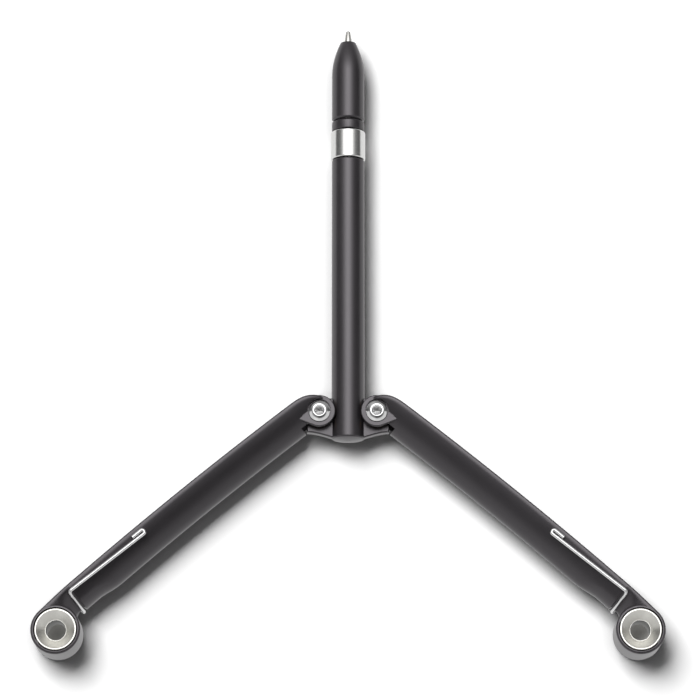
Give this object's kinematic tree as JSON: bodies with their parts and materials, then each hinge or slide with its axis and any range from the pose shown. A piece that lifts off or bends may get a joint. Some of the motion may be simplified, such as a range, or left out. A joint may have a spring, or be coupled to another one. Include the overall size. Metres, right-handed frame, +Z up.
{
  "type": "balisong pen",
  "caption": "Ballpoint pen whose channel handles swing on pivots at its base and fold round the barrel, with dished end weights and wire pocket clips.",
  "frame": {"origin": "middle of the box of the lying pen, on the surface under it", "axes": "+Y along the pen to its writing point, +Z up from the surface it lies on, +X to the right handle"},
  "size_m": [0.164, 0.1709, 0.0125],
  "materials": {
    "black_nylon": "satin moulded",
    "bright_steel": "polished",
    "nickel_silver": "turned",
    "weight_nickel": "satin turned",
    "washer_bronze": "satin",
    "clear_plastic": "gloss",
    "ball_carbide": "polished"
  },
  "bodies": {
    "pen": {"barrel": "black_nylon", "grip_band": "bright_steel", "nose_collar": "black_nylon", "nose_cone": "black_nylon", "refill_tube": "clear_plastic", "refill_nib": "nickel_silver", "writing_ball": "ball_carbide", "left_front_washer": "washer_bronze", "left_back_washer": "washer_bronze", "right_front_washer": "washer_bronze", "right_back_washer": "washer_bronze"},
    "left_arm": {"left_handle": "black_nylon", "left_end_weight": "weight_nickel", "left_pivot_screw": "bright_steel", "left_pivot_nut": "bright_steel"},
    "right_arm": {"right_handle": "black_nylon", "right_end_weight": "weight_nickel", "right_pivot_screw": "bright_steel", "right_pivot_nut": "bright_steel"},
    "left_wire": {"left_clip": "bright_steel"},
    "right_wire": {"right_clip": "bright_steel"}
  },
  "joints": [
    {"name": "left_swing", "type": "hinge", "parent": "pen", "child": "left_arm", "pos_m": [-0.00755, -0.02095, 0.00565], "axis": [0, 0, 1], "range_deg": [-127.4, 49.5]},
    {"name": "right_swing", "type": "hinge", "parent": "pen", "child": "right_arm", "pos_m": [0.00755, -0.02095, 0.00565], "axis": [0, 0, 1], "range_deg": [-49.5, 127.4]},
    {"name": "left_clip_flex", "type": "hinge", "parent": "left_arm", "child": "left_wire", "pos_m": [-0.06884, -0.07329, 0.00565], "axis": [0.6494, -0.7604, 0], "range_deg": [0, 4], "stiffness_Nm_per_rad": 0.7},
    {"name": "right_clip_flex", "type": "hinge", "parent": "right_arm", "child": "right_wire", "pos_m": [0.06884, -0.07329, 0.00565], "axis": [0.6494, 0.7604, 0], "range_deg": [0, 4], "stiffness_Nm_per_rad": 0.7}
  ]
}
